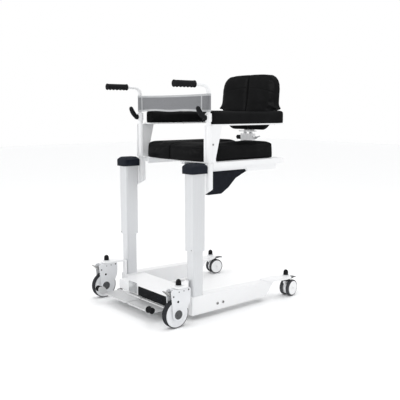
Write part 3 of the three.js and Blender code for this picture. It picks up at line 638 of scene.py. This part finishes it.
def mesh_panel():
    path = panel_path()
    along = [p[0] / POST[0] for p in path]
    low = [PANEL_LOW + 2.4 * (1 - math.cos(2 * math.pi * a)) * (1 - a * a if abs(a) < 1 else 0) for a in along]
    high = [PANEL_HIGH - 3.0 * max(0, 1 - a * a) for a in along]
    panel = strip("mesh_panel_fabric", path, low, high, 1.6, MESH)
    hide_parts("mesh_panel")
    width, thick = 9, 2.8
    hems = [strip("mesh_panel_top_binding", path, [h - width for h in high], [h + 0.3 for h in high], thick,
                  BINDING, rows=3),
            strip("mesh_panel_bottom_binding", path, [v - 0.3 for v in low], [v + width for v in low], thick,
                  BINDING, rows=3)]
    for label, sign in (("left", 1), ("right", -1)):
        keep = [i for i, p in enumerate(path) if 236 <= sign * p[0] <= 250]
        hems.append(strip(f"mesh_panel_{label}_binding", [path[i] for i in keep], [low[i] + width for i in keep],
                          [high[i] - width for i in keep], thick, BINDING, rows=6))


# ---- Soft goods -------------------------------------------------------------------------------
def bezier(a, b, c, d, steps):
    return [tuple(a[i] * (1 - t) ** 3 + 3 * b[i] * t * (1 - t) ** 2 + 3 * c[i] * t * t * (1 - t) + d[i] * t ** 3
                  for i in range(2)) for t in np.linspace(0, 1, steps, endpoint=False)]


def prism(name, outline, low, high):
    """A closed prism of a plan outline between two heights, as a plain mesh object."""
    verts, faces = rings([[(x, y, z) for x, y in outline] for z in (low, high)])
    data = bpy.data.meshes.new(name)
    data.from_pydata([tuple(c / 1000 for c in v) for v in verts], [], faces)
    piece = bpy.data.objects.new(name, data)
    bpy.context.collection.objects.link(piece)
    return piece


def baked(piece):
    """Applies every modifier on a piece."""
    graph = bpy.context.evaluated_depsgraph_get()
    data = bpy.data.meshes.new_from_object(piece.evaluated_get(graph))
    piece.modifiers.clear()
    piece.data = data
    return piece


def remeshed(piece, voxel):
    modifier = piece.modifiers.new("voxels", "REMESH")
    modifier.mode, modifier.voxel_size = "VOXEL", voxel / 1000
    return baked(piece)


def points_of(piece):
    co = np.empty(len(piece.data.vertices) * 3)
    piece.data.vertices.foreach_get("co", co)
    return co.reshape(-1, 3) * 1000


def set_points(piece, points):
    piece.data.vertices.foreach_set("co", (points / 1000).ravel())
    piece.data.update()


def relaxed(piece, times):
    modifier = piece.modifiers.new("soft edges", "SMOOTH")
    modifier.iterations, modifier.factor = times, 0.5
    return baked(piece)


def inflated(piece, cap, held):
    """Fills the cover with air by cloth simulation and keeps each point within cap of its start."""
    start = points_of(piece)
    group = piece.vertex_groups.new(name="held")
    group.add([int(i) for i in np.flatnonzero(held(start))], 1.0, "REPLACE")
    modifier = piece.modifiers.new("air", "CLOTH")
    cloth = modifier.settings
    cloth.quality = 5
    cloth.tension_stiffness = cloth.compression_stiffness = 12
    cloth.bending_stiffness = 0.6
    cloth.use_pressure, cloth.uniform_pressure_force = True, 4
    cloth.effector_weights.gravity = 0
    cloth.vertex_group_mass = "held"
    modifier.point_cache.frame_start, modifier.point_cache.frame_end = 1, 20
    scene = bpy.context.scene
    for number in range(1, 21):
        scene.frame_set(number)
    graph = bpy.context.evaluated_depsgraph_get()
    result = piece.evaluated_get(graph)
    end = np.array([v.co for v in result.data.vertices]) * 1000
    scene.frame_set(1)
    piece.modifiers.clear()
    piece.vertex_groups.clear()
    move = end - start
    size = np.linalg.norm(move, axis=1, keepdims=True)
    move *= np.minimum(1, cap / np.maximum(size, 1e-9))
    set_points(piece, start + move)
    return piece


def subdivided(piece):
    modifier = piece.modifiers.new("finer", "SUBSURF")
    modifier.levels = modifier.render_levels = 1
    return baked(piece)


def edge_distance(points, outline):
    """Distance in plan from each point to the outline."""
    best = np.full(len(points), 1e9)
    loop = np.array(outline)
    for a, b in zip(loop, np.roll(loop, -1, axis=0)):
        d = b - a
        t = np.clip(((points[:, :2] - a) @ d) / max(d @ d, 1e-9), 0, 1)
        best = np.minimum(best, np.linalg.norm(points[:, :2] - (a + t[:, None] * d), axis=1))
    return best


def mirrored(piece, name):
    data = piece.data.copy()
    twin = bpy.data.objects.new(name, data)
    bpy.context.collection.objects.link(twin)
    points = points_of(twin)
    points[:, 0] *= -1
    set_points(twin, points)
    data.flip_normals()
    return twin


def seat_outline(inset=0.0):
    """Plan of the left seat half, from the split round the outer edge and back round the opening."""
    half, front, rear = SEAT_HALF - inset, SEAT_FRONT + inset, SEAT_REAR - inset
    middle = front - SEAT_BOW
    loop = bezier((1.5, middle), (half * 0.5, middle), (half * 0.8, front - SEAT_BOW * 0.6),
                  (half - 18, front), 12)
    loop += bezier((half - 18, front), (half - 6, front + 5), (half, front + 18), (half, front + 34), 6)
    loop += [(half, front + 34 + (rear - 60 - front) * k / 10) for k in range(10)]
    loop += bezier((half, rear - 26), (half, rear - 12), (half - 12, rear), (half - 26, rear), 6)
    loop += [(half - 26 - (half - 27.5) * k / 5, rear) for k in range(5)]
    for turn in np.linspace(math.pi / 2, -math.pi / 2, 25):
        loop.append((1.5 + OPENING_X * math.cos(turn), OPENING_Y + (OPENING_R + inset) * math.sin(turn)))
    return loop


def seam_line(name, piece_points, loop, height, radius, body):
    """A raised sewn welt that follows the cover's outermost surface at one height."""
    band = piece_points[np.abs(piece_points[:, 2] - height) < 4]
    path = []
    for x, y in loop:
        nearest = band[np.argmin((band[:, 0] - x) ** 2 + (band[:, 1] - y) ** 2)]
        path.append((nearest[0], nearest[1], height))
    smooth = [tuple(sum(path[(i + k) % len(path)][c] for k in (-1, 0, 1)) / 3 for c in range(3))
              for i in range(len(path))]
    verts, faces = closed_tube(smooth, radius)
    return mesh_object(name, verts, faces, THREAD, body, smooth=60)


def closed_tube(path, radius):
    count = 8
    points = [Vector(p) for p in path]
    sections = []
    for i, point in enumerate(points):
        ahead = (points[(i + 1) % len(points)] - points[i - 1]).normalized()
        side = ahead.cross(Vector((0, 0, 1))).normalized()
        sections.append([tuple(point + (side * math.cos(t) + Vector((0, 0, 1)) * math.sin(t)) * radius)
                         for t in (2 * math.pi * k / count for k in range(count))])
    return rings(sections, closed=True)


def seat_cushions():
    outline = seat_outline(0.5)
    left = remeshed(prism("left_seat_cushion_cover", outline, SEAT_BASE, SEAT_TOP - 4), 5.5)
    points = points_of(left)
    inward = edge_distance(points, outline)
    rise = np.clip((points[:, 2] - SEAT_BASE) / (SEAT_TOP - 4 - SEAT_BASE), 0, 1)
    points[:, 2] += rise ** 3 * (6.5 * (1 - np.exp(-inward / 42)) - 3.5 * np.exp(-inward / 14))
    set_points(left, points)
    left = relaxed(left, 5)
    left = inflated(left, 5.0, lambda p: p[:, 2] < SEAT_BASE + 3)
    left = subdivided(left)
    points = points_of(left)
    for height, depth in ((SEAT_TOP - 19, 1.6), (SEAT_BASE + 12, 1.0)):
        near = np.exp(-((points[:, 2] - height) / 2.6) ** 2) * (edge_distance(points, outline) < 12)
        centre = np.array([125.0, 330.0])
        direction = points[:, :2] - centre
        direction /= np.maximum(np.linalg.norm(direction, axis=1, keepdims=True), 1e-9)
        points[:, :2] -= direction * (near * depth)[:, None]
    points[:, 2] = np.clip(points[:, 2], SEAT_BASE, None)
    points[:, 0] = np.clip(points[:, 0], 1.2, 241.5)
    points[:, 1] += SHIFT_Y
    set_points(left, points)
    right = mirrored(left, "right_seat_cushion_cover")
    loop = [(x, y + SHIFT_Y) for x, y in seat_outline(2.0)]
    for (name, side), cover in zip(SIDES, (left, right)):
        body = f"{name}_wing"
        dress(cover, UPHOLSTERY, body, 70)
        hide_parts(f"{name}_seat_cushion")
        own = points_of(cover)
        outer = [(x * side, y) for x, y in loop]
        seam_line(f"{name}_seat_top_seam", own, outer, SEAT_TOP - 19, 1.0, body)


def armrest_pads():
    centre_x, centre_y = (ARM_X0 + ARM_X1) / 2, (ARM_Y0 + ARM_Y1) / 2
    outline = [p[:2] for p in rounded_rectangle(centre_x, centre_y, 26.5, 246, 17, 0)]
    left = remeshed(prism("left_armrest_pad_cover", outline, ARM_Z0 + 0.3, ARM_Z1 - 3.5), 4.5)
    points = points_of(left)
    inward = edge_distance(points, outline)
    rise = np.clip((points[:, 2] - ARM_Z0) / (ARM_Z1 - ARM_Z0 - 4), 0, 1)
    points[:, 2] += rise ** 3 * (3.5 * (1 - np.exp(-inward / 14)) - 4.5 * np.exp(-inward / 6))
    set_points(left, points)
    left = relaxed(left, 6)
    left = inflated(left, 4.0, lambda p: p[:, 2] < ARM_Z0 + 3)
    left = subdivided(left)
    points = points_of(left)
    near = np.exp(-((points[:, 2] - (ARM_Z0 + 9)) / 2.2) ** 2)
    points[:, 0] -= np.sign(points[:, 0] - centre_x) * near * 1.4
    points[:, 2] = np.clip(points[:, 2], ARM_Z0, None)
    points[:, 1] += SHIFT_Y
    set_points(left, points)
    right = mirrored(left, "right_armrest_pad_cover")
    loop = [(p[0], p[1] + SHIFT_Y) for p in rounded_rectangle(centre_x, centre_y, 28, 247.5, 17, 0, 6)]
    dense = []
    for a, b in zip(loop, loop[1:] + loop[:1]):
        steps = max(1, int(math.dist(a, b) / 12))
        dense += [(a[0] + (b[0] - a[0]) * k / steps, a[1] + (b[1] - a[1]) * k / steps) for k in range(steps)]
    for (name, side), cover in zip(SIDES, (left, right)):
        body = f"{name}_wing"
        dress(cover, UPHOLSTERY, body, 70)
        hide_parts(f"{name}_armrest_pad")
        outer = [(x * side, y) for x, y in dense]
        seam_line(f"{name}_armrest_seam", points_of(cover), outer, ARM_Z0 + 9, 0.8, body)


def back_outline(inset):
    """The backrest's outline as (x, height up the leaning face)."""
    lip, top, wide = BACK_LIP, BACK_HEIGHT - inset, BACK_HALF - inset
    half = [(0.0, inset)]
    half += [(28 * k, inset) for k in range(1, 4)]
    half += bezier((112, inset), (140 - inset, 4 + inset), (158 - inset, 26), (174 - inset, 50), 6)
    half += bezier((174 - inset, 50), (190 - inset, 74), (200 - inset, 90), (203 - inset, lip), 5)
    half += bezier((203 - inset, lip), (216 - inset, lip), (228 - inset, lip + 1), (236 - inset, lip + 4), 3)
    half += bezier((236 - inset, lip + 9), (222 - inset, lip + 15), (214 - inset, lip + 30),
                   (wide, lip + 58), 8)
    half += [(wide, lip + 58 + (48 - inset) * k / 5) for k in range(1, 5)]
    half += bezier((wide, 218), (wide, 272), (180 - inset, top - 5), (130, top - 4), 10)
    half += bezier((130, top - 4), (95, top), (40, top), (0, top), 6)
    half.append((0.0, top))
    return half + [(-x, h) for x, h in reversed(half[1:-1])]


def backrest():
    outline = back_outline(2.0)
    pad = remeshed(prism("backrest_cover", outline, 5, BACK_THICK), 5.0)
    points = points_of(pad)                    # x, height up the face, depth behind the front face
    inward = edge_distance(points, outline)
    front = np.clip((BACK_THICK - 6 - points[:, 2]) / (BACK_THICK - 12), 0, 1)
    x, h = np.abs(points[:, 0]), points[:, 1]
    across = np.clip(1 - ((x - 104) / 104) ** 2, 0, 1)
    up = np.clip((h - 96) / 60, 0, 1) * np.clip((BACK_HEIGHT - h) / 70, 0, 1) ** 0.5
    crown = 9 * across ** 0.8 * up + 5 * np.exp(-((h - 106) / 26) ** 2)
    tuck = 13 * np.clip((96 - h) / 96, 0, 1) ** 1.2
    points[:, 2] += front * (tuck - crown * (1 - np.exp(-inward / 10)) + 4 * np.exp(-inward / 7))
    set_points(pad, points)
    pad = relaxed(pad, 5)
    pad = inflated(pad, 3.0, lambda p: p[:, 2] > BACK_THICK - 3)
    pad = relaxed(subdivided(pad), 3)
    points = points_of(pad)
    x, h = points[:, 0], points[:, 1]
    front = np.clip((BACK_THICK - 10 - points[:, 2]) / 10, 0, 1)
    middle = np.exp(-(x / 3.2) ** 2) * 6.5 + np.exp(-(x / 14) ** 2) * 3.5
    fold = np.exp(-((h - 88 + 10 * (x / 200) ** 2) / 4.0) ** 2) * 4.5
    arch = np.exp(-((h - 196 - 34 * (1 - (x / 215) ** 2)) / 3.0) ** 2) * 1.6 * (np.abs(x) > 12)
    points[:, 2] += front * (middle + fold + arch)
    points[:, 2] = np.clip(points[:, 2], -9, BACK_THICK)
    height, depth = points[:, 1], points[:, 2]
    sine, cosine = math.sin(BACK_LEAN), math.cos(BACK_LEAN)
    set_points(pad, np.column_stack([points[:, 0], depth * cosine + height * sine + BACK_Y + SHIFT_Y,
                                     -depth * sine + height * cosine + BACK_Z]))
    face_outward(pad.data)
    dress(pad, UPHOLSTERY, "backrest", 70)
    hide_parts("backrest_pad")


def wing_details():
    for name, side in SIDES:
        outward, wing = "+x" if side > 0 else "-x", f"{name}_wing"
        for k, (y, z) in enumerate(((74, 905), (110, 835), (74, 770))):
            screw(f"{name}_gusset_bolt_{k}", (side * 282, y, z), outward, 5, wing, height=3)
        for k, y in enumerate((160, 360, 560)):
            screw(f"{name}_armrest_screw_{k}", (side * 256, y, 924), "-z", 4, wing, height=2)
    profile = [(4, -43.5), (4, -50.3), (11, -50.8), (13, -52.8), (13, -81.3), (11.4, -84.8), (8, -86.3),
               (2, -86.3)]
    centre = (0, *KNOB_YZ)
    verts, faces = lathe(profile, "x", centre, 60, 6, 2.2)
    knob = mesh_object("backrest_knob_moulded", framed(verts), faces, BLACK, "backrest_clamp")
    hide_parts("backrest_knob")
    turned("backrest_bolt_cap", [(7, 61), (8, 62), (8, 68), (6, 70), (2, 70)], "x", centre, 32, CHROME,
           "left_wing")
    verts, faces = tube([(66, *KNOB_YZ), (84, 614, 852), (104, 606, 856)], [4.2, 4.6, 3.6], 16)
    mesh_object("backrest_bolt_lever", framed(verts), faces, CHROME, "left_wing")


# ---- Build ------------------------------------------------------------------------------------
make_camera()
make_studio()
finish_cad()
front_casters()
rear_casters()
base_details()
carriages()
mesh_panel()
seat_cushions()
armrest_pads()
backrest()
wing_details()
